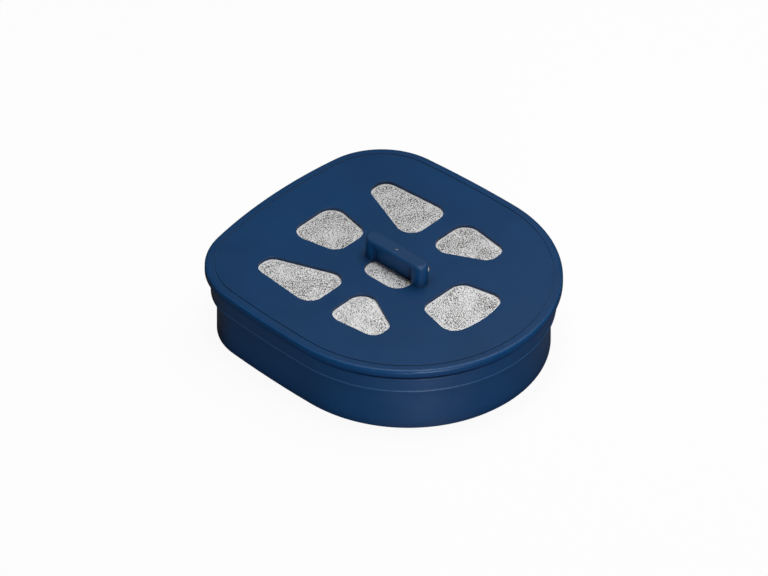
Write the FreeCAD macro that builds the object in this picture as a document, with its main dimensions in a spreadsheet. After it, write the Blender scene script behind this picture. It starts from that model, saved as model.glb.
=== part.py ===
import FreeCAD, Part
import math
import os
import Sketcher

# Filter cartridge for a water jug: a cup of granules between two fleeces, closed by a lid with
# seven windows and a grip bar. The plan is a rounded square with a bowed front, symmetric about
# the YZ plane. +Z is up, +Y points to the straighter back edge, -Y to the bowed front edge, and
# the origin lies in the resting plane under the middle of the plan. Lengths are in millimetres.

SIZES = {
    # Plan of the lid, which every other outline follows at its own inset
    "lid_width": 110.0,
    "lid_length": 121.7,
    "side_radius": 425.0,
    "back_radius": 188.5,
    "back_corner_radius": 27.3,
    # Lid, from its top plane down
    "lid_top_height": 29.6,
    "plate_thickness": 1.3,
    "flange_height": 3.2,
    "lip_thickness": 1.4,
    "flange_top_rounding": 1.1,
    "flange_under_chamfer": 0.35,
    "edge_groove_inset": 3.1,
    "edge_groove_width": 0.45,
    "edge_groove_depth": 0.25,
    "skirt_inset": 3.3,
    "shadow_gap": 2.2,
    "tongue_thickness": 1.2,
    # Windows of the lid
    "window_corner_radius": 5.7,
    "window_tip_radius": 4.8,
    "cross_rib_station": 4.1,
    "cross_rib_width": 7.1,
    "side_window_inner": 13.9,
    "side_window_outer": 36.7,
    "side_window_tip_inner": 25.4,
    "side_window_tip_outer": 34.2,
    "back_side_window_length": 29.8,
    "front_side_window_length": 22.4,
    "back_window_start": 21.0,
    "back_window_length": 20.8,
    "back_window_near_width": 15.6,
    "back_window_far_width": 23.8,
    "front_window_start": 21.4,
    "front_window_margin": 18.4,
    "front_window_near_width": 20.8,
    "front_window_far_width": 28.9,
    "middle_window_width": 19.6,
    "middle_window_length": 19.7,
    # Grip bar over the middle window
    "grip_setback": 0.4,
    "grip_length": 28.3,
    "grip_width": 5.7,
    "grip_height": 8.6,
    "grip_cap_thickness": 2.2,
    "grip_clear_span": 19.1,
    "grip_web_thickness": 1.7,
    "grip_top_rounding": 0.95,
    "gate_mark_diameter": 1.1,
    "gate_mark_depth": 0.25,
    # Cup
    "neck_inset": 2.4,
    "neck_wall": 1.9,
    "neck_height": 6.4,
    "rim_chamfer": 0.35,
    "bead_inset": 2.15,
    "bead_height": 1.1,
    "bead_chamfer": 0.2,
    "ledge_thickness": 1.6,
    "wall_inset": 4.35,
    "wall_thickness": 1.6,
    "base_chamfer": 0.6,
    "base_rim_width": 3.0,
    "floor_recess": 0.8,
    "floor_thickness": 1.6,
    "floor_margin": 3.7,
    "slot_width": 2.8,
    "slot_pitch": 5.2,
    "slot_rib_station": 16.0,
    "slot_rib_width": 2.2,
    # Filling
    "fleece_thickness": 1.0,
    # Clearances
    "tongue_clearance": 0.15,
    "tongue_end_clearance": 0.4,
    "filling_clearance": 0.3,
}

# Points and levels nearer than this count as one
SAME_PLACE = 1e-5

# How much of a window's shortest side one corner's radius may be, so that two corners fit
CORNER_SHARE = 0.45
TIP_SHARE = 0.55

doc = FreeCAD.newDocument("filter_cartridge")
sheet = doc.addObject("Spreadsheet::Sheet", "Sizes")
for row, (alias, number) in enumerate(SIZES.items(), start=1):
    sheet.set(f"A{row}", alias)
    sheet.set(f"B{row}", str(number))
    sheet.setAlias(f"B{row}", alias)
doc.recompute()


class Size:
    """A length that knows both its number and the sheet formula that gives it."""

    def __init__(self, number, formula):
        self.number = number
        self.formula = formula

    def __add__(self, other):
        return Size(self.number + other.number, f"({self.formula} + {other.formula})")

    def __sub__(self, other):
        return Size(self.number - other.number, f"({self.formula} - {other.formula})")

    def __mul__(self, factor):
        return Size(self.number * factor, f"({self.formula} * {factor})")

    def __truediv__(self, other):
        if isinstance(other, Size):
            return Size(self.number / other.number, f"({self.formula} / {other.formula})")
        return Size(self.number / other, f"({self.formula} / {other})")

    def __neg__(self):
        return Size(-self.number, f"(-{self.formula})")

    def whole(self):
        return Size(math.floor(self.number), f"floor({self.formula})")

    def leg(self, other):
        """The other leg of a right triangle whose longest side is this length."""
        return Size(
            math.sqrt(self.number ** 2 - other.number ** 2),
            f"sqrt({self.formula} ^ 2 - {other.formula} ^ 2)")

    def at_most(self, *limits):
        """This length, or the shortest of the limits where that is shorter."""
        lengths = (self,) + limits
        formulas = "; ".join(length.formula for length in lengths)
        return Size(min(length.number for length in lengths), f"min({formulas})")


def size(alias):
    return Size(SIZES[alias], f"Sizes.{alias}")


def bind(target, property_name, length):
    target.setExpression(property_name, length.formula)


# Levels, measured up from the resting plane
lid_top = size("lid_top_height")
plate_under = lid_top - size("plate_thickness")
flange_under = lid_top - size("flange_height")
rim_top = flange_under - size("shadow_gap")
neck_foot = rim_top - size("neck_height")
bead_top = neck_foot + size("bead_height")
ledge_top = neck_foot + size("ledge_thickness")
tongue_end = ledge_top + size("tongue_end_clearance")
floor_under = size("floor_recess")
floor_top = floor_under + size("floor_thickness")
bed_foot = floor_top + size("fleece_thickness")
bed_top = plate_under - size("fleece_thickness")
grip_top = lid_top + size("grip_height")
grip_cap_under = grip_top - size("grip_cap_thickness")

# Stations of the side windows' straight ends along the plan
rib_far = size("cross_rib_station") + size("cross_rib_width") / 2
rib_near = rib_far - size("cross_rib_width")
back_tip = rib_far + size("back_side_window_length")
front_tip = rib_near - size("front_side_window_length")

# Insets of the outlines from the plan of the lid
no_inset = Size(0.0, "0")
neck_inner_inset = size("neck_inset") + size("neck_wall")
tongue_inset = neck_inner_inset + size("tongue_clearance")
tongue_inner_inset = tongue_inset + size("tongue_thickness")
wall_inner_inset = size("wall_inset") + size("wall_thickness")
base_rim_inset = size("wall_inset") + size("base_rim_width")
grille_inset = size("wall_inset") + size("floor_margin")
fleece_inset = tongue_inner_inset + size("filling_clearance")
bed_inset = wall_inner_inset + size("filling_clearance")

half_length = size("lid_length") / 2
half_width = size("lid_width") / 2

# Bowed edge of the front window, and how far it lies in front of that window's straight edge
bow_radius = half_width - size("front_window_margin")
bow_rise = size("front_window_start") - half_length + half_width
front_window_flank = bow_radius.leg(size("front_window_far_width") / 2) - bow_rise

# Corner radii of the windows, limited by the sides that they share
tip_width = size("side_window_tip_outer") - size("side_window_tip_inner")
tip_rounding = size("window_tip_radius").at_most(tip_width * TIP_SHARE)
corner_rounding = size("window_corner_radius").at_most(
    front_window_flank * CORNER_SHARE,
    size("back_window_near_width") * CORNER_SHARE,
    size("middle_window_width") * CORNER_SHARE,
    size("middle_window_length") * CORNER_SHARE)


def origin_feature(body, role):
    return next(item for item in body.Origin.OriginFeatures if item.Role == role)


def new_body(name):
    body = doc.addObject("PartDesign::Body", name)
    body.Label = name
    return body


def new_sketch(body, name, level):
    sketch = body.newObject("Sketcher::SketchObject", name)
    sketch.AttachmentSupport = [(origin_feature(body, "XY_Plane"), "")]
    sketch.MapMode = "FlatFace"
    bind(sketch, "AttachmentOffset.Base.z", level)
    return sketch


def dimension(sketch, kind, references, length):
    """Add a driving constraint and tie it to the sheet."""
    index = sketch.addConstraint(Sketcher.Constraint(kind, *references, length.number))
    sketch.setExpression(f"Constraints[{index}]", length.formula)


def pad(body, name, sketch, height):
    feature = body.newObject("PartDesign::Pad", name)
    feature.Profile = sketch
    bind(feature, "Length", height)
    doc.recompute()


def pocket(body, name, sketch, depth, upwards):
    """Cut a sketch out, upwards or downwards from its plane, and check that it removed something."""
    before = body.Shape.Volume
    feature = body.newObject("PartDesign::Pocket", name)
    feature.Profile = sketch
    feature.Reversed = upwards
    bind(feature, "Length", depth)
    doc.recompute()
    if body.Shape.Volume >= before:
        raise RuntimeError(f"{name} cuts nothing")
    return feature


def circle_meeting(centre_a, reach_a, centre_b, reach_b):
    """Right-hand point at given distances from two centres: the centre of a corner arc."""
    apart = centre_b - centre_a
    along = (apart.Length ** 2 + reach_a ** 2 - reach_b ** 2) / (2 * apart.Length)
    aside = math.sqrt(reach_a ** 2 - along ** 2)
    unit = FreeCAD.Vector(apart).normalize()
    normal = FreeCAD.Vector(-unit.y, unit.x, 0)
    choices = [centre_a + unit * along + normal * side * aside for side in (1, -1)]
    return max(choices, key=lambda point: point.x)


def heading(start, end):
    return math.atan2(end.y - start.y, end.x - start.x)


def outline_arcs(inset):
    """Six tangent arcs of the plan, anticlockwise from the front, as centre, radius, two angles."""
    bow = FreeCAD.Vector(0, half_width.number - half_length.number, 0)
    side = FreeCAD.Vector(half_width.number - SIZES["side_radius"], bow.y, 0)
    back = FreeCAD.Vector(0, half_length.number - SIZES["back_radius"], 0)
    corner = circle_meeting(
        back, SIZES["back_radius"] - SIZES["back_corner_radius"],
        side, SIZES["side_radius"] - SIZES["back_corner_radius"])
    side_turn = heading(side, corner)
    back_turn = heading(back, corner)
    right_half = [
        (side, SIZES["side_radius"], 0.0, side_turn),
        (corner, SIZES["back_corner_radius"], side_turn, back_turn),
    ]
    left_half = [
        (FreeCAD.Vector(-centre.x, centre.y, 0), radius, math.pi - end, math.pi - start)
        for centre, radius, start, end in reversed(right_half)
    ]
    arcs = [(bow, half_width.number, math.pi, 2 * math.pi)]
    arcs += right_half
    arcs += [(back, SIZES["back_radius"], back_turn, math.pi - back_turn)]
    arcs += left_half
    return [(centre, radius - inset, start, end) for centre, radius, start, end in arcs]


def draw_outline(sketch, inset):
    """The plan at an inset: arcs share their centres at every inset and only the radii shrink."""
    first = sketch.GeometryCount
    for centre, radius, start, end in outline_arcs(inset.number):
        circle = Part.Circle(centre, FreeCAD.Vector(0, 0, 1), radius)
        sketch.addGeometry(Part.ArcOfCircle(circle, start, end), False)
    ring = list(range(first, first + 6))
    bow, right, right_corner, back, left_corner, left = ring
    for arc, following in zip(ring, ring[1:] + ring[:1]):
        sketch.addConstraint(Sketcher.Constraint("Tangent", arc, 2, following, 1))
    for arc, twin in ((right, left), (right_corner, left_corner)):
        sketch.addConstraint(Sketcher.Constraint("Equal", arc, twin))
    for arc in (bow, back):
        sketch.addConstraint(Sketcher.Constraint("PointOnObject", arc, 3, -2))
    for arc in (right, left):
        sketch.addConstraint(Sketcher.Constraint("Horizontal", arc, 3, bow, 3))
    dimension(sketch, "DistanceY", (back, 3, -1, 1), size("back_radius") - half_length)
    dimension(sketch, "DistanceY", (back, 3, bow, 3), size("back_radius") - size("lid_length") + half_width)
    dimension(sketch, "Radius", (bow,), half_width - inset)
    dimension(sketch, "Radius", (right,), size("side_radius") - inset)
    dimension(sketch, "Radius", (right_corner,), size("back_corner_radius") - inset)
    dimension(sketch, "Radius", (back,), size("back_radius") - inset)


def outline_pad(body, name, foot, head, *insets):
    """A slab with the plan's outline, or a ring between two insets, from one level to another."""
    sketch = new_sketch(body, f"{name}_outline", foot)
    for inset in insets:
        draw_outline(sketch, inset)
    pad(body, name, sketch, head - foot)


def draw_quad(sketch, corners):
    """Four lines through corners listed anticlockwise from the near left one."""
    first = sketch.GeometryCount
    points = [FreeCAD.Vector(across, along, 0) for across, along in corners]
    for start, end in zip(points, points[1:] + points[:1]):
        sketch.addGeometry(Part.LineSegment(start, end), False)
    lines = [first, first + 1, first + 2, first + 3]
    for line, following in zip(lines, lines[1:] + lines[:1]):
        sketch.addConstraint(Sketcher.Constraint("Coincident", line, 2, following, 1))
    return lines


def set_direction(sketch, kind, *lines):
    for line in lines:
        sketch.addConstraint(Sketcher.Constraint(kind, line))


def draw_centred_rectangle(sketch, width, length):
    across = width.number / 2
    along = length.number / 2
    corners = [(-across, -along), (across, -along), (across, along), (-across, along)]
    near, right, far, left = draw_quad(sketch, corners)
    set_direction(sketch, "Horizontal", near, far)
    set_direction(sketch, "Vertical", right, left)
    sketch.addConstraint(Sketcher.Constraint("Symmetric", near, 1, far, 1, -1, 1))
    dimension(sketch, "DistanceX", (near, 1, near, 2), width)
    dimension(sketch, "DistanceY", (right, 1, right, 2), length)


def planar_face(shape, level, facing):
    """The largest flat face at a level whose normal points up (1) or down (-1)."""
    found = []
    for face in shape.Faces:
        at_level = abs(face.CenterOfMass.z - level.number) < SAME_PLACE
        if at_level and isinstance(face.Surface, Part.Plane):
            if round(face.normalAt(0, 0).z) == facing:
                found.append(face)
    return max(found, key=lambda face: face.Area)


def edge_names(shape, edges):
    names = []
    for index, edge in enumerate(shape.Edges, start=1):
        if any(edge.isSame(other) for other in edges):
            names.append(f"Edge{index}")
    return names


def dress_edges(body, kind, name, edges, length):
    """Round edges with kind Fillet, or bevel them with kind Chamfer."""
    support = body.Tip
    feature = body.newObject(f"PartDesign::{kind}", name)
    feature.Base = (support, edge_names(support.Shape, edges))
    bind(feature, "Radius" if kind == "Fillet" else "Size", length)
    doc.recompute()


def dress_rim(body, kind, name, level, facing, length):
    """Round or bevel the outer edges of the largest flat face at a level."""
    face = planar_face(body.Tip.Shape, level, facing)
    dress_edges(body, kind, name, face.OuterWire.Edges, length)


def side_windows(body):
    """The two windows on the right-hand side, with the cross rib between them."""
    sketch = new_sketch(body, "side_window_outlines", lid_top)
    inner = SIZES["side_window_inner"]
    outer = SIZES["side_window_outer"]
    tip_inner = SIZES["side_window_tip_inner"]
    tip_outer = SIZES["side_window_tip_outer"]
    behind = draw_quad(sketch, [
        (inner, rib_far.number), (outer, rib_far.number),
        (tip_outer, back_tip.number), (tip_inner, back_tip.number)])
    ahead = draw_quad(sketch, [
        (tip_inner, front_tip.number), (tip_outer, front_tip.number),
        (outer, rib_near.number), (inner, rib_near.number)])
    set_direction(sketch, "Horizontal", behind[0], behind[2], ahead[0], ahead[2])
    dimension(sketch, "DistanceY", (-1, 1, behind[0], 1), rib_far)
    dimension(sketch, "DistanceY", (ahead[2], 2, behind[0], 1), size("cross_rib_width"))
    dimension(sketch, "DistanceY", (behind[1], 1, behind[1], 2), size("back_side_window_length"))
    dimension(sketch, "DistanceY", (ahead[1], 1, ahead[1], 2), size("front_side_window_length"))
    for line, end, alias in (
            (behind[0], 1, "side_window_inner"), (behind[0], 2, "side_window_outer"),
            (behind[2], 2, "side_window_tip_inner"), (behind[2], 1, "side_window_tip_outer"),
            (ahead[2], 2, "side_window_inner"), (ahead[2], 1, "side_window_outer"),
            (ahead[0], 1, "side_window_tip_inner"), (ahead[0], 2, "side_window_tip_outer")):
        dimension(sketch, "DistanceX", (-1, 1, line, end), size(alias))
    windows = pocket(body, "side_windows", sketch, size("plate_thickness"), False)
    mirrored = body.newObject("PartDesign::Mirrored", "side_windows_mirrored")
    mirrored.Originals = [windows]
    mirrored.MirrorPlane = (origin_feature(body, "YZ_Plane"), [""])
    body.Tip = mirrored
    doc.recompute()


def middle_windows(body):
    """The windows on the mirror plane behind and in front of the grip."""
    sketch = new_sketch(body, "middle_window_outlines", lid_top)
    start = size("back_window_start")
    near_half = size("back_window_near_width") / 2
    far_half = size("back_window_far_width") / 2
    far = start + size("back_window_length")
    near, right, opposite, left = draw_quad(sketch, [
        (-near_half.number, start.number), (near_half.number, start.number),
        (far_half.number, far.number), (-far_half.number, far.number)])
    sketch.addConstraint(Sketcher.Constraint("Symmetric", near, 1, near, 2, -2))
    sketch.addConstraint(Sketcher.Constraint("Symmetric", opposite, 1, opposite, 2, -2))
    dimension(sketch, "DistanceY", (-1, 1, near, 1), start)
    dimension(sketch, "DistanceY", (right, 1, right, 2), size("back_window_length"))
    dimension(sketch, "DistanceX", (near, 1, near, 2), size("back_window_near_width"))
    dimension(sketch, "DistanceX", (opposite, 2, opposite, 1), size("back_window_far_width"))

    # The front window widens towards a bowed edge that runs parallel to the lid's front
    near_half = SIZES["front_window_near_width"] / 2
    far_half = SIZES["front_window_far_width"] / 2
    top = -SIZES["front_window_start"]
    centre = FreeCAD.Vector(0, top + bow_rise.number, 0)
    turn = math.acos(far_half / bow_radius.number)
    bottom = centre.y - bow_radius.number * math.sin(turn)
    corners = [FreeCAD.Vector(across, along, 0) for across, along in (
        (far_half, bottom), (near_half, top), (-near_half, top), (-far_half, bottom))]
    bow = sketch.GeometryCount
    circle = Part.Circle(centre, FreeCAD.Vector(0, 0, 1), bow_radius.number)
    sketch.addGeometry(Part.ArcOfCircle(circle, math.pi + turn, 2 * math.pi - turn), False)
    for start, end in zip(corners, corners[1:]):
        sketch.addGeometry(Part.LineSegment(start, end), False)
    flank, edge, other_flank = bow + 1, bow + 2, bow + 3
    for line, following in ((bow, flank), (flank, edge), (edge, other_flank), (other_flank, bow)):
        sketch.addConstraint(Sketcher.Constraint("Coincident", line, 2, following, 1))
    sketch.addConstraint(Sketcher.Constraint("Symmetric", edge, 1, edge, 2, -2))
    sketch.addConstraint(Sketcher.Constraint("Symmetric", bow, 1, bow, 2, -2))
    dimension(sketch, "DistanceX", (edge, 2, edge, 1), size("front_window_near_width"))
    dimension(sketch, "DistanceY", (edge, 1, -1, 1), size("front_window_start"))
    dimension(sketch, "DistanceY", (edge, 1, bow, 3), bow_rise)
    dimension(sketch, "Radius", (bow,), bow_radius)
    dimension(sketch, "DistanceX", (bow, 1, bow, 2), size("front_window_far_width"))
    pocket(body, "middle_windows", sketch, size("plate_thickness"), False)


def grip_window(body):
    """The window under the grip bar, seen on both sides of its web."""
    sketch = new_sketch(body, "grip_window_outline", lid_top)
    bind(sketch, "AttachmentOffset.Base.y", -size("grip_setback"))
    draw_centred_rectangle(sketch, size("middle_window_width"), size("middle_window_length"))
    pocket(body, "grip_window", sketch, size("plate_thickness"), False)


def window_corners(shape, at_tip):
    """The upright edges of the windows, either those at the side windows' tips or all others."""
    top = planar_face(shape, lid_top, 1)
    corners = []
    for wire in top.Wires:
        if not wire.isSame(top.OuterWire):
            corners += [vertex.Point for vertex in wire.Vertexes]
    found = []
    for edge in shape.Edges:
        ends = [vertex.Point for vertex in edge.Vertexes]
        drop = ends[0] - ends[-1]
        if math.hypot(drop.x, drop.y) < SAME_PLACE:
            station = ends[0].y
            tip = any(abs(station - end.number) < SAME_PLACE for end in (back_tip, front_tip))
            known = any(end.isEqual(corner, SAME_PLACE) for end in ends for corner in corners)
            if known and tip == at_tip:
                found.append(edge)
    return found


def round_window_corners(body):
    tips = window_corners(body.Tip.Shape, True)
    dress_edges(body, "Fillet", "window_tips", tips, tip_rounding)
    others = window_corners(body.Tip.Shape, False)
    dress_edges(body, "Fillet", "window_corners", others, corner_rounding)


def grip_bar(body):
    """A bar on two round feet, joined between them by a thin web that crosses the window."""
    bar = new_sketch(body, "grip_outline", plate_under)
    bind(bar, "AttachmentOffset.Base.y", -size("grip_setback"))
    end_radius = size("grip_width") / 2
    straight = (SIZES["grip_length"] - SIZES["grip_width"]) / 2
    half = end_radius.number
    for side in (1, -1):
        far = FreeCAD.Vector(0, side * straight, 0)
        turn = math.pi * (1 - side) / 2
        circle = Part.Circle(far, FreeCAD.Vector(0, 0, 1), half)
        bar.addGeometry(Part.ArcOfCircle(circle, turn, turn + math.pi), False)
        start = FreeCAD.Vector(-side * half, side * straight, 0)
        bar.addGeometry(Part.LineSegment(start, FreeCAD.Vector(start.x, -start.y, 0)), False)
    for piece, following in ((0, 1), (1, 2), (2, 3), (3, 0)):
        bar.addConstraint(Sketcher.Constraint("Tangent", piece, 2, following, 1))
    bar.addConstraint(Sketcher.Constraint("Symmetric", 0, 3, 2, 3, -1, 1))
    bar.addConstraint(Sketcher.Constraint("PointOnObject", 0, 3, -2))
    dimension(bar, "DistanceY", (2, 3, 0, 3), size("grip_length") - size("grip_width"))
    dimension(bar, "Radius", (0,), end_radius)
    pad(body, "grip", bar, grip_top - plate_under)

    hollow = new_sketch(body, "grip_hollow_outlines", plate_under)
    bind(hollow, "AttachmentOffset.Base.y", -size("grip_setback"))
    web_half = SIZES["grip_web_thickness"] / 2
    span_half = SIZES["grip_clear_span"] / 2
    for sign in (1, -1):
        across = sorted((sign * web_half, sign * half))
        near, right, far, left = draw_quad(hollow, [
            (across[0], -span_half), (across[1], -span_half),
            (across[1], span_half), (across[0], span_half)])
        set_direction(hollow, "Horizontal", near, far)
        set_direction(hollow, "Vertical", right, left)
        inner_end = (near, 1) if sign > 0 else (near, 2)
        outer_end = (near, 2) if sign > 0 else (near, 1)
        inner_reference = (-1, 1) + inner_end if sign > 0 else inner_end + (-1, 1)
        outer_reference = (-1, 1) + outer_end if sign > 0 else outer_end + (-1, 1)
        dimension(hollow, "DistanceX", inner_reference, size("grip_web_thickness") / 2)
        dimension(hollow, "DistanceX", outer_reference, end_radius)
        dimension(hollow, "DistanceY", (near, 1, -1, 1), size("grip_clear_span") / 2)
        dimension(hollow, "DistanceY", (right, 1, right, 2), size("grip_clear_span"))
    pocket(body, "grip_hollows", hollow, grip_cap_under - plate_under, True)
    dress_rim(body, "Fillet", "grip_top_edge", grip_top, 1, size("grip_top_rounding"))

    gate = new_sketch(body, "gate_mark_outline", grip_top)
    bind(gate, "AttachmentOffset.Base.y", -size("grip_setback"))
    gate_radius = SIZES["gate_mark_diameter"] / 2
    gate.addGeometry(Part.Circle(FreeCAD.Vector(), FreeCAD.Vector(0, 0, 1), gate_radius), False)
    gate.addConstraint(Sketcher.Constraint("Coincident", 0, 3, -1, 1))
    dimension(gate, "Diameter", (0,), size("gate_mark_diameter"))
    pocket(body, "gate_mark", gate, size("gate_mark_depth"), False)


def make_top_cover():
    body = new_body("top_cover")
    outline_pad(body, "plate", plate_under, lid_top, no_inset)
    side_windows(body)
    middle_windows(body)
    grip_window(body)
    round_window_corners(body)
    grip_bar(body)
    outline_pad(body, "hanging_lip", flange_under, plate_under, no_inset, size("lip_thickness"))
    outline_pad(body, "skirt", rim_top, plate_under, size("skirt_inset"), tongue_inner_inset)
    outline_pad(body, "tongue", tongue_end, rim_top, tongue_inset, tongue_inner_inset)
    groove = new_sketch(body, "edge_groove_outline", lid_top)
    draw_outline(groove, size("edge_groove_inset"))
    draw_outline(groove, size("edge_groove_inset") + size("edge_groove_width"))
    dress_rim(body, "Fillet", "flange_top_edge", lid_top, 1, size("flange_top_rounding"))
    dress_rim(body, "Chamfer", "flange_under_edge", flange_under, -1, size("flange_under_chamfer"))
    pocket(body, "edge_groove", groove, size("edge_groove_depth"), False)
    return body


def slot_rows(body):
    """Rows of three outlet slots, the outer two run out under the floor's margin."""
    spare = size("slot_width") / 2
    half_count = ((half_length - grille_inset - spare) / size("slot_pitch")).whole()
    count = half_count * 2 + Size(1, "1")
    first_row = Size(half_count.number * SIZES["slot_pitch"], f"({half_count.formula} * Sizes.slot_pitch)")
    sketch = new_sketch(body, "slot_row_outlines", floor_under)
    bind(sketch, "AttachmentOffset.Base.y", -first_row)
    inner = size("slot_rib_station") - size("slot_rib_width") / 2
    outer = size("slot_rib_station") + size("slot_rib_width") / 2
    along = SIZES["slot_width"] / 2
    for start, end in ((-half_width.number, -outer.number), (-inner.number, inner.number),
                       (outer.number, half_width.number)):
        draw_quad(sketch, [(start, -along), (end, -along), (end, along), (start, along)])
    for lines in ((0, 1, 2, 3), (4, 5, 6, 7), (8, 9, 10, 11)):
        set_direction(sketch, "Horizontal", lines[0], lines[2])
        set_direction(sketch, "Vertical", lines[1], lines[3])
        dimension(sketch, "DistanceY", (lines[0], 1, -1, 1), size("slot_width") / 2)
        dimension(sketch, "DistanceY", (lines[1], 1, lines[1], 2), size("slot_width"))
    dimension(sketch, "DistanceX", (0, 1, -1, 1), half_width)
    dimension(sketch, "DistanceX", (0, 2, -1, 1), outer)
    dimension(sketch, "DistanceX", (4, 1, -1, 1), inner)
    dimension(sketch, "DistanceX", (-1, 1, 4, 2), inner)
    dimension(sketch, "DistanceX", (-1, 1, 8, 1), outer)
    dimension(sketch, "DistanceX", (-1, 1, 8, 2), half_width)
    row = pocket(body, "slot_row", sketch, size("floor_thickness"), True)
    rows = body.newObject("PartDesign::LinearPattern", "slot_rows")
    rows.Originals = [row]
    rows.Direction = (origin_feature(body, "Y_Axis"), [""])
    bind(rows, "Length", first_row * 2)
    bind(rows, "Occurrences", count)
    body.Tip = rows
    doc.recompute()


def make_housing_cup():
    body = new_body("housing_cup")
    outline_pad(body, "floor", floor_under, floor_top, size("wall_inset"))
    slot_rows(body)
    outline_pad(body, "floor_border", floor_under, floor_top, size("wall_inset"), grille_inset)
    outline_pad(body, "base_rim", no_inset, floor_under, size("wall_inset"), base_rim_inset)
    outline_pad(body, "wall", floor_under, ledge_top, size("wall_inset"), wall_inner_inset)
    outline_pad(body, "ledge", neck_foot, ledge_top, size("neck_inset"), wall_inner_inset)
    outline_pad(body, "neck", ledge_top, rim_top, size("neck_inset"), neck_inner_inset)
    outline_pad(body, "bead", neck_foot, bead_top, size("bead_inset"), wall_inner_inset)
    dress_rim(body, "Chamfer", "bead_edge", bead_top, 1, size("bead_chamfer"))
    dress_rim(body, "Chamfer", "base_edge", no_inset, -1, size("base_chamfer"))
    dress_rim(body, "Chamfer", "rim_edge", rim_top, 1, size("rim_chamfer"))
    return body


def make_layer(name, foot, head, inset):
    body = new_body(name)
    outline_pad(body, f"{name}_slab", foot, head, inset)
    return body


def check(bodies):
    """Every object has to have computed, and every sub-part has to be one sound solid."""
    for item in doc.Objects:
        if {"Invalid", "Error"} & set(item.State):
            raise RuntimeError(f"{item.Name} failed: {item.State}")
    for body in bodies:
        if body.Shape.isNull() or not body.Shape.isValid() or len(body.Shape.Solids) != 1:
            raise RuntimeError(f"{body.Label} is not one valid solid")


bodies = [
    make_top_cover(),
    make_housing_cup(),
    make_layer("upper_fleece", bed_top, plate_under, fleece_inset),
    make_layer("filter_bed", bed_foot, bed_top, bed_inset),
    make_layer("lower_fleece", floor_top, bed_foot, bed_inset),
]
doc.recompute()
check(bodies)
os.makedirs("parts", exist_ok=True)
for body in bodies:
    body.Shape.exportStep(f"parts/{body.Label}.step")
    box = body.Shape.BoundBox
    print(body.Label, round(body.Shape.Volume, 1), [round(value, 2) for value in (
        box.XMin, box.YMin, box.ZMin, box.XMax, box.YMax, box.ZMax)])
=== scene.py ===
import math

import bpy
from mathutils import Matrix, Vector, noise
from mathutils.bvhtree import BVHTree


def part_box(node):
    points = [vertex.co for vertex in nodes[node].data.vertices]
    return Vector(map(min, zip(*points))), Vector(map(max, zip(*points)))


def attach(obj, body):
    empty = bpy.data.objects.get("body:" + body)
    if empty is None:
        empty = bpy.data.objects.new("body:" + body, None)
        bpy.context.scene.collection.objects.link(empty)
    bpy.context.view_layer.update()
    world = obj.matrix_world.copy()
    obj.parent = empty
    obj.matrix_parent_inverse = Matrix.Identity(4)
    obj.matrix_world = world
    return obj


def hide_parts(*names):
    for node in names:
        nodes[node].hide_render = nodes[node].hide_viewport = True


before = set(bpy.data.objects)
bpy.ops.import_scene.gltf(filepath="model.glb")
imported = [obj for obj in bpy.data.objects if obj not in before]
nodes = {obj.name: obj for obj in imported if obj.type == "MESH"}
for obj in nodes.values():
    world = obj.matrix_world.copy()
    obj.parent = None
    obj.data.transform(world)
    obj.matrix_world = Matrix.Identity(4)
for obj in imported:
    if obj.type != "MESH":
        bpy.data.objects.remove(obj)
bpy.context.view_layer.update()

WHITE = (1.0, 1.0, 1.0, 1.0)

# Levels above the floor that the plastic's tones, painted shade and painted highlights follow, in metres, and
# the place of the gate mark's painted highlight
BEAD_CREST = 0.01880
CUP_TONE_ENDS = (0.0235, 0.0240)
CUP_GLOSS_ENDS = (0.0235, 0.0245)
CUP_TOP = 0.02415
LID_EDGE_PAINTED_SHADE = (0.0266, 0.0284)
GROOVE_FLOOR = 0.02935
GRIP_TOP_HIGHLIGHT = (0.0368, 0.0381)
GATE_LOWEST = 0.0370
GATE_CENTRE_Y = -0.0004
GATE_RADII = (0.0003, 0.0007)

# The fleece is whiter towards the front left corner, where X + Y is lowest, and greyer towards the back
FLEECE_SPAN = (-0.050, 0.045)

# Each sheet is a grid of this many cells a side, with a little play at its edge and at both faces
CELLS = 170
SIDE_PLAY = 0.0002
FACE_PLAY = 0.00004

# Its distance to the cover is taken just under its face, counts as touching up to a limit,
# and says how far the cover still presses on it
PROBE_DEPTH = 0.00002
TOUCHING = 0.0001
PRESSED_WIDTH = 0.0005

# Lumps in the sheet: how many to the metre, which layer of the noise, and how deep in metres
LUMPS = ((620, 3.0, 0.00007), (1500, 9.0, 0.00004), (130, 5.0, 0.00012))
SMOOTH_TILT = 0.3

# Strengths of the surround as it is seen and felt, and the share that gloss sees
SEEN = 1.0
SKY_FELT = 0.07
GLOSS_SHARE = 0.03

# The floor glows by a share of its white; its own tone is dark as felt and pale as seen
FLOOR_GLOW = 0.94
FLOOR_TONES = [(0.0, (0.08, 0.08, 0.08, 1.0)), (1.0, (0.9, 0.9, 0.9, 1.0))]
FLOOR_SIZE = 6.0
FLOOR_DROP = 0.0001

# The camera: parallel, at an azimuth and elevation in degrees
CAMERA_AZIMUTH = -46.81
CAMERA_ELEVATION = 38.79
CAMERA_DISTANCE = 1.0
CAMERA_REACH = 10.0
VIEW_WIDTH = 0.2725
LOOK_AT = Vector((-0.01140, -0.00481, 0.0296))

# Name, azimuth from the camera's and elevation in degrees, distance, width, height and watts
PANELS = (
    ("front", 13, 5, 1.2, 0.35, 0.20, 11.6),
    ("right", 107, 70.6, 0.47, 0.25, 0.25, 0.5),
    ("back", 150, 60, 0.6, 0.30, 0.30, 0.5),
    ("top", 0, 89, 1.2, 0.30, 0.30, 6.2),
)
PANEL_AIM = (0, 0, 0.015)


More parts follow.
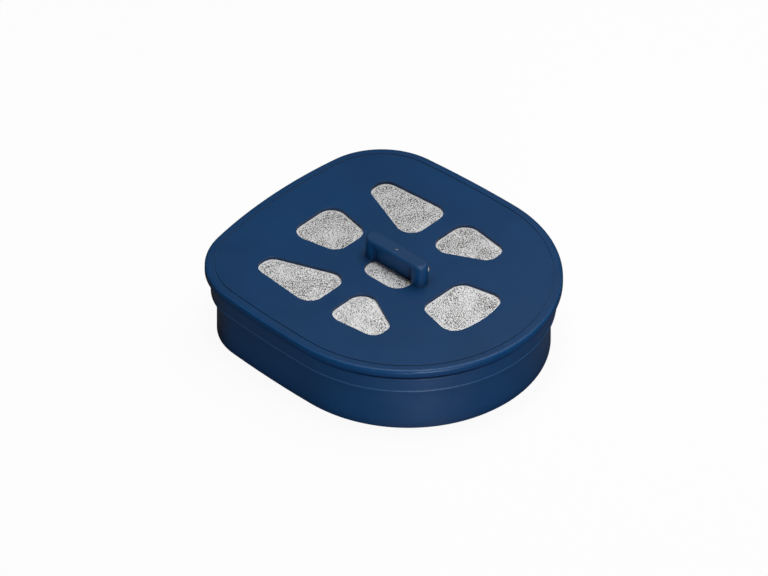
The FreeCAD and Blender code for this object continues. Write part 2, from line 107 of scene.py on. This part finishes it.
def colour(red, green, blue):
    """Screen values from 0 to 255 as the linear colour a shader takes."""
    linear = []
    for value in (red, green, blue):
        share = value / 255
        linear.append(share / 12.92 if share <= 0.04045 else ((share + 0.055) / 1.055) ** 2.4)
    return (*linear, 1.0)


class Shader:
    """The node tree of a material or a world, built one node at a time."""

    def __init__(self, owner, output_kind="ShaderNodeOutputMaterial"):
        self.owner = owner
        owner.use_nodes = True
        self.tree = owner.node_tree
        self.tree.nodes.clear()
        self.output = self.tree.nodes.new(output_kind)

    def node(self, kind, inputs=None, **settings):
        made = self.tree.nodes.new(kind)
        for name, value in settings.items():
            setattr(made, name, value)
        for name, value in (inputs or {}).items():
            socket = made.inputs[name]
            if isinstance(value, bpy.types.NodeSocket):
                self.tree.links.new(value, socket)
            else:
                socket.default_value = value
        return made

    def place(self):
        return self.node("ShaderNodeTexCoord").outputs["Object"]

    def axes(self, place):
        return self.node("ShaderNodeSeparateXYZ", {"Vector": place}).outputs

    def noise(self, place, scale, detail, roughness=0.5, distortion=0.0):
        return self.node("ShaderNodeTexNoise", {
            "Vector": place, "Scale": scale, "Detail": detail,
            "Roughness": roughness, "Distortion": distortion}).outputs[0]

    def spread(self, value, ends, results):
        """The results at both ends, evenly between them, and held beyond."""
        return self.node("ShaderNodeMapRange", {
            "Value": value, "From Min": ends[0], "From Max": ends[1],
            "To Min": results[0], "To Max": results[1]}).outputs["Result"]

    def calc(self, operation, first, second=0.0):
        return self.node("ShaderNodeMath", {0: first, 1: second}, operation=operation).outputs["Value"]

    def line_at(self, value, centre, half_widths, strength):
        """A thin line where a value is near its centre: full within one half width, gone at the other."""
        away = self.calc("ABSOLUTE", self.calc("SUBTRACT", value, centre))
        return self.spread(away, half_widths, (strength, 0.0))

    def ramp(self, value, stops):
        made = self.node("ShaderNodeValToRGB", {"Fac": value})
        elements = made.color_ramp.elements
        while len(elements) < len(stops):
            elements.new(0.5)
        for element, (position, tone) in zip(elements, stops):
            element.position = position
            element.color = tone
        return made.outputs["Color"]

    def blend(self, share, tone, other):
        """A colour mixed with a share of another."""
        return self.node(
            "ShaderNodeMix", {"Factor": share, "A": tone, "B": other}, data_type="RGBA").outputs["Result"]

    def bump(self, height, distance, strength, normal=None):
        inputs = {"Height": height, "Distance": distance, "Strength": strength}
        if normal is not None:
            inputs["Normal"] = normal
        return self.node("ShaderNodeBump", inputs).outputs["Normal"]

    def mix_surfaces(self, share, surface, other):
        return self.node("ShaderNodeMixShader", {"Fac": share, 1: surface, 2: other}).outputs["Shader"]

    def finish(self, surface):
        self.tree.links.new(surface, self.output.inputs["Surface"])
        return self.owner


def material_shader(name):
    return Shader(bpy.data.materials.new(name))


def navy_plastic():
    """Satin moulded polypropylene: softened edges, a fine grain and faint flow marks, with painted shade and
    painted highlights.
    """
    shader = material_shader("navy_plastic")
    place = shader.place()
    axes = shader.axes(place)
    height = axes["Z"]
    clouds = shader.noise(place, scale=38.0, detail=3.0)
    tone = shader.ramp(clouds, [(0.3, colour(3, 53, 95)), (0.7, colour(6, 58, 102))])

    # The cup's plastic is a little deeper in tone than the lid's, and painted shade darkens the lid's hanging
    # edge towards its foot
    cup = shader.spread(height, CUP_TONE_ENDS, (0.17, 0.0))
    edge = shader.calc("MULTIPLY", shader.spread(height, LID_EDGE_PAINTED_SHADE, (0.58, 0.0)),
                       shader.calc("GREATER_THAN", height, CUP_TOP))
    tone = shader.blend(shader.calc("MAXIMUM", cup, edge), tone, colour(2, 22, 66))

    # Painted highlights: the grip's top is painted a little paler, and its gate mark carries a pale painted
    # highlight
    grip_top_highlight = shader.spread(height, GRIP_TOP_HIGHLIGHT, (0.0, 0.018))
    tone = shader.blend(grip_top_highlight, tone, colour(170, 190, 205))
    across = shader.calc("POWER", axes["X"], 2.0)
    along = shader.calc("POWER", shader.calc("SUBTRACT", axes["Y"], GATE_CENTRE_Y), 2.0)
    reach = shader.calc("SQRT", shader.calc("ADD", across, along))
    gate_highlight = shader.calc("MULTIPLY", shader.spread(reach, GATE_RADII, (0.55, 0.0)),
                       shader.calc("GREATER_THAN", height, GATE_LOWEST))
    tone = shader.blend(gate_highlight, tone, colour(176, 192, 214))

    # Painted highlights: the floor of the lid's fine groove and the bead's upper edge are painted paler
    highlight_tone = colour(96, 160, 232)
    groove = shader.line_at(height, GROOVE_FLOOR, half_widths=(0.00003, 0.00006), strength=0.16)
    tone = shader.blend(groove, tone, highlight_tone)
    crest = shader.line_at(height, BEAD_CREST, half_widths=(0.00010, 0.00018), strength=0.22)
    tone = shader.blend(crest, tone, highlight_tone)

    # Painted shade: inner corners, the gap under the lid's edge and the sides of openings are darkened where
    # ambient occlusion finds them closed in
    openness = shader.node("ShaderNodeAmbientOcclusion", {"Distance": 0.005}, samples=8).outputs["AO"]
    tone = shader.blend(shader.spread(openness, (0.35, 0.95), (0.72, 0.0)), tone, colour(2, 10, 34))

    edges = shader.node("ShaderNodeBevel", {"Radius": 0.00022}, samples=6).outputs["Normal"]
    swell = shader.noise(place, scale=55.0, detail=1.0)
    normal = shader.bump(swell, distance=0.00012, strength=0.35, normal=edges)
    grain = shader.noise(place, scale=5200.0, detail=2.0, roughness=0.6)
    normal = shader.bump(grain, distance=0.00001, strength=0.25, normal=normal)
    wear = shader.noise(place, scale=130.0, detail=4.0)
    return shader.finish(shader.node("ShaderNodeBsdfPrincipled", {
        "Base Color": tone, "Roughness": shader.spread(wear, (0.3, 0.7), (0.40, 0.47)), "IOR": 1.46,
        "Specular IOR Level": shader.spread(height, CUP_GLOSS_ENDS, (0.60, 0.32)),
        "Normal": normal}).outputs["BSDF"])


def nonwoven_fleece():
    """Needled white fibres with dark pores between them, pressed smooth and white at its rims."""
    shader = material_shader("nonwoven_fleece")
    place = shader.place()
    axes = shader.axes(place)
    diagonal = shader.calc("ADD", axes["X"], axes["Y"])

    fibres = None
    for turn, offset in ((0.3, 0.0), (1.25, 3.1), (2.2, 6.7)):
        mapping = shader.node("ShaderNodeMapping", {
            "Vector": place, "Location": (offset, offset * 0.7, 0.0),
            "Rotation": (0.0, 0.0, turn), "Scale": (1.0, 0.3, 1.0)}).outputs["Vector"]
        strand = shader.noise(mapping, scale=3600.0, detail=1.0, distortion=0.2)
        fibres = strand if fibres is None else shader.calc("MAXIMUM", fibres, strand)
    threads = shader.spread(fibres, (0.48, 0.70), (0.0, 1.0))
    pores = shader.spread(shader.noise(place, scale=2700.0, detail=1.0), (0.40, 0.60), (0.0, 1.0))
    patches = shader.spread(shader.noise(place, scale=150.0, detail=2.0), (0.35, 0.65), (-0.10, 0.10))
    front_whitening = shader.spread(diagonal, FLEECE_SPAN, (0.10, 0.03))
    cover = shader.calc("ADD", shader.calc("MULTIPLY", pores, 0.62), shader.calc("MULTIPLY", threads, 0.38))
    cover = shader.calc("ADD", cover, shader.calc("ADD", patches, front_whitening))

    # Where the cover presses on the sheet, the pores close
    pressed = shader.node("ShaderNodeAttribute", attribute_name="pressed").outputs["Fac"]
    ragged = shader.spread(shader.noise(place, scale=900.0, detail=1.0), (0.35, 0.65), (0.5, 1.2))
    pressed = shader.calc("MINIMUM", shader.calc("MULTIPLY", pressed, ragged), 1.0)
    cover = shader.node("ShaderNodeMix", {"Factor": pressed, "A": cover, "B": 0.92}).outputs["Result"]

    tone = shader.ramp(cover, [
        (0.18, colour(14, 12, 10)), (0.36, colour(138, 135, 131)),
        (0.48, colour(232, 232, 231)), (0.66, colour(254, 254, 255))])
    greyer = shader.spread(diagonal, FLEECE_SPAN, (0.0, 0.26))
    tone = shader.blend(greyer, tone, colour(70, 68, 66))
    return shader.finish(shader.node("ShaderNodeBsdfPrincipled", {
        "Base Color": tone, "Roughness": 0.9, "Specular IOR Level": 0.2, "Sheen Weight": 0.08,
        "Sheen Roughness": 0.5, "Normal": shader.bump(cover, distance=0.0002, strength=0.6)}).outputs["BSDF"])


def granules():
    """Black carbon grains with paler softening beads among them."""
    shader = material_shader("granules")
    cells = shader.node("ShaderNodeTexVoronoi", {"Vector": shader.place(), "Scale": 900.0}).outputs
    pick = shader.node("ShaderNodeSeparateColor", {"Color": cells["Color"]}).outputs[0]
    tone = shader.ramp(pick, [
        (0.0, colour(22, 22, 24)), (0.74, colour(44, 43, 43)), (0.78, colour(196, 168, 112))])
    normal = shader.bump(cells["Distance"], distance=0.0006, strength=0.8)
    return shader.finish(shader.node("ShaderNodeBsdfPrincipled", {
        "Base Color": tone, "Roughness": 0.62, "Normal": normal}).outputs["BSDF"])


def finish_node(name, material):
    """A CAD node keeps its mesh and gets a better material."""
    for slot in nodes[name].material_slots:
        slot.material = material


def outline_radius(node):
    """How far a flat node's outline lies from the origin at an angle, from its own vertices."""
    polar = {}
    for vertex in node.data.vertices:
        angle = round(math.atan2(vertex.co.y, vertex.co.x), 5)
        reach = math.hypot(vertex.co.x, vertex.co.y)
        polar[angle] = max(reach, polar.get(angle, 0.0))
    ring = sorted(polar.items())
    (first, first_reach), (last, last_reach) = ring[0], ring[-1]
    ring = [(last - 2 * math.pi, last_reach)] + ring + [(first + 2 * math.pi, first_reach)]

    def radius(angle):
        low, high = 0, len(ring) - 1
        while high - low > 1:
            middle = (low + high) // 2
            if ring[middle][0] <= angle:
                low = middle
            else:
                high = middle
        (a, near), (b, far) = ring[low], ring[high]
        ax, ay = near * math.cos(a), near * math.sin(a)
        bx, by = far * math.cos(b), far * math.sin(b)
        return (ax * by - ay * bx) / (math.cos(angle) * (by - ay) - math.sin(angle) * (bx - ax))

    return radius


def grid_places(radius):
    """Places row by row: a square grid stretched to an outline, its middle at the origin."""
    for row in range(CELLS + 1):
        for column in range(CELLS + 1):
            across = 2 * column / CELLS - 1
            along = 2 * row / CELLS - 1
            reach = max(abs(across), abs(along))
            if reach == 0:
                yield 0.0, 0.0
            else:
                angle = math.atan2(along, across)
                length = reach * radius(angle)
                yield length * math.cos(angle), length * math.sin(angle)


def slab_faces():
    """Faces of a grid, its side band and one face behind, and the grid's points at its rim, in order."""
    stride = CELLS + 1
    faces = [
        (first, first + 1, first + 1 + stride, first + stride)
        for row in range(CELLS) for first in range(row * stride, row * stride + CELLS)]
    rim = list(range(CELLS)) + [row * stride + CELLS for row in range(CELLS)]
    rim += [CELLS * stride + column for column in range(CELLS, 0, -1)]
    rim += [row * stride for row in range(CELLS, 0, -1)]
    behind = range(stride * stride, stride * stride + len(rim))
    for place, index in enumerate(rim):
        after = (place + 1) % len(rim)
        faces.append((index, behind[place], behind[after], rim[after]))
    faces.append(tuple(behind)[::-1])
    return faces, rim


def unevenness(x, y):
    return sum(depth * noise.noise(Vector((x * scale, y * scale, layer))) for scale, layer, depth in LUMPS)


def fleece_sheet(name, node_name, cover_name, upward, rise, settle):
    """A closed sheet that lies flat under its cover and swells a little into the cover's openings."""
    cover = nodes[cover_name].data
    tree = BVHTree.FromPolygons(
        [vertex.co for vertex in cover.vertices], [face.vertices for face in cover.polygons])
    low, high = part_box(node_name)
    front, back = (high[2], low[2]) if upward else (low[2], high[2])
    way = 1.0 if upward else -1.0
    shrink = 1.0 - SIDE_PLAY / high[0]
    outline = outline_radius(nodes[node_name])
    points, pressed = [], []
    for x, y in grid_places(lambda angle: shrink * outline(angle)):
        distance = tree.find_nearest(Vector((x, y, front - way * PROBE_DEPTH)))[3]
        gap = max(distance - TOUCHING, 0.0)
        swell = (1 - math.exp(-gap / settle)) * (rise + unevenness(x, y))
        points.append((x, y, front + way * (swell - FACE_PLAY)))
        pressed.append(math.exp(-gap / PRESSED_WIDTH))

    faces, rim = slab_faces()
    points += [(points[index][0], points[index][1], back + way * FACE_PLAY) for index in rim]
    pressed += [1.0] * len(rim)
    if not upward:
        faces = [face[::-1] for face in faces]
    mesh = bpy.data.meshes.new(name)
    mesh.from_pydata(points, [], faces)
    mesh.attributes.new("pressed", "FLOAT", "POINT").data.foreach_set("value", pressed)
    for face in mesh.polygons:
        face.use_smooth = len(face.vertices) == 4 and abs(face.normal.z) > SMOOTH_TILT
    mesh.materials.append(fleece)

    sheet = bpy.data.objects.new(name, mesh)
    bpy.context.scene.collection.objects.link(sheet)
    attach(sheet, "root")
    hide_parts(node_name)
    return sheet


def white_share(shader):
    """How much white a ray sees: all for the camera and through clear things, a small part in gloss."""
    path = shader.node("ShaderNodeLightPath").outputs
    gloss = shader.calc("MULTIPLY", path["Is Glossy Ray"], GLOSS_SHARE)
    direct = shader.calc("MAXIMUM", path["Is Camera Ray"], path["Is Transmission Ray"])
    return shader.calc("MAXIMUM", direct, gloss)


def surround():
    """A world that is white to look at and felt only weakly as light."""
    world = bpy.data.worlds.new("surround")
    bpy.context.scene.world = world
    shader = Shader(world, "ShaderNodeOutputWorld")
    felt = shader.node("ShaderNodeBackground", {"Color": WHITE, "Strength": SKY_FELT})
    seen = shader.node("ShaderNodeBackground", {"Color": WHITE, "Strength": SEEN})
    shader.finish(shader.mix_surfaces(
        white_share(shader), felt.outputs["Background"], seen.outputs["Background"]))


def white_floor():
    """A floor that is white to look at, keeps the object's shadow and throws little light back."""
    bpy.ops.mesh.primitive_plane_add(size=FLOOR_SIZE, location=(0, 0, -FLOOR_DROP))
    floor = bpy.context.object
    floor.name = "floor"
    shader = material_shader("floor_white")
    white = white_share(shader)
    tone = shader.ramp(white, FLOOR_TONES)
    diffuse = shader.node("ShaderNodeBsdfDiffuse", {"Color": tone})
    glow = shader.node("ShaderNodeEmission", {"Color": WHITE, "Strength": SEEN})
    share = shader.calc("MULTIPLY", white, FLOOR_GLOW)
    floor.data.materials.append(shader.finish(
        shader.mix_surfaces(share, diffuse.outputs["BSDF"], glow.outputs["Emission"])))


def around(azimuth, elevation, distance):
    """A place seen from the origin at an azimuth measured from the camera's own, both in degrees."""
    turn = math.radians(CAMERA_AZIMUTH) + math.radians(azimuth)
    rise = math.radians(elevation)
    return (
        distance * math.sin(turn) * math.cos(rise), -distance * math.cos(turn) * math.cos(rise),
        distance * math.sin(rise))


def camera():
    """The photograph's view."""
    back = Vector(around(0, CAMERA_ELEVATION, 1.0))
    data = bpy.data.cameras.new("camera")
    data.type = "ORTHO"
    data.ortho_scale = VIEW_WIDTH
    data.clip_end = CAMERA_REACH
    made = bpy.data.objects.new("camera", data)
    made.location = LOOK_AT + back * CAMERA_DISTANCE
    made.rotation_euler = back.to_track_quat("Z", "Y").to_euler()
    bpy.context.scene.collection.objects.link(made)
    bpy.context.scene.camera = made


def panel(name, place, width, height, watts):
    """A soft lamp that faces the object."""
    data = bpy.data.lights.new(name, "AREA")
    data.shape = "RECTANGLE"
    data.size = width
    data.size_y = height
    data.energy = watts
    light = bpy.data.objects.new(name, data)
    bpy.context.scene.collection.objects.link(light)
    light.location = place
    light.rotation_euler = (Vector(PANEL_AIM) - Vector(place)).to_track_quat("-Z", "Y").to_euler()


plastic = navy_plastic()
fleece = nonwoven_fleece()
finish_node("top_cover", plastic)
finish_node("housing_cup", plastic)
finish_node("filter_bed", granules())
top_fleece = fleece_sheet(
    "top_fleece", "upper_fleece", "top_cover", upward=True, rise=0.0006, settle=0.0012)
floor_fleece = fleece_sheet(
    "floor_fleece", "lower_fleece", "housing_cup", upward=False, rise=0.00035, settle=0.0006)

bpy.context.scene.view_settings.view_transform = "Standard"
surround()
white_floor()
camera()
for panel_name, azimuth, elevation, distance, width, height, watts in PANELS:
    panel(panel_name, around(azimuth, elevation, distance), width, height, watts)
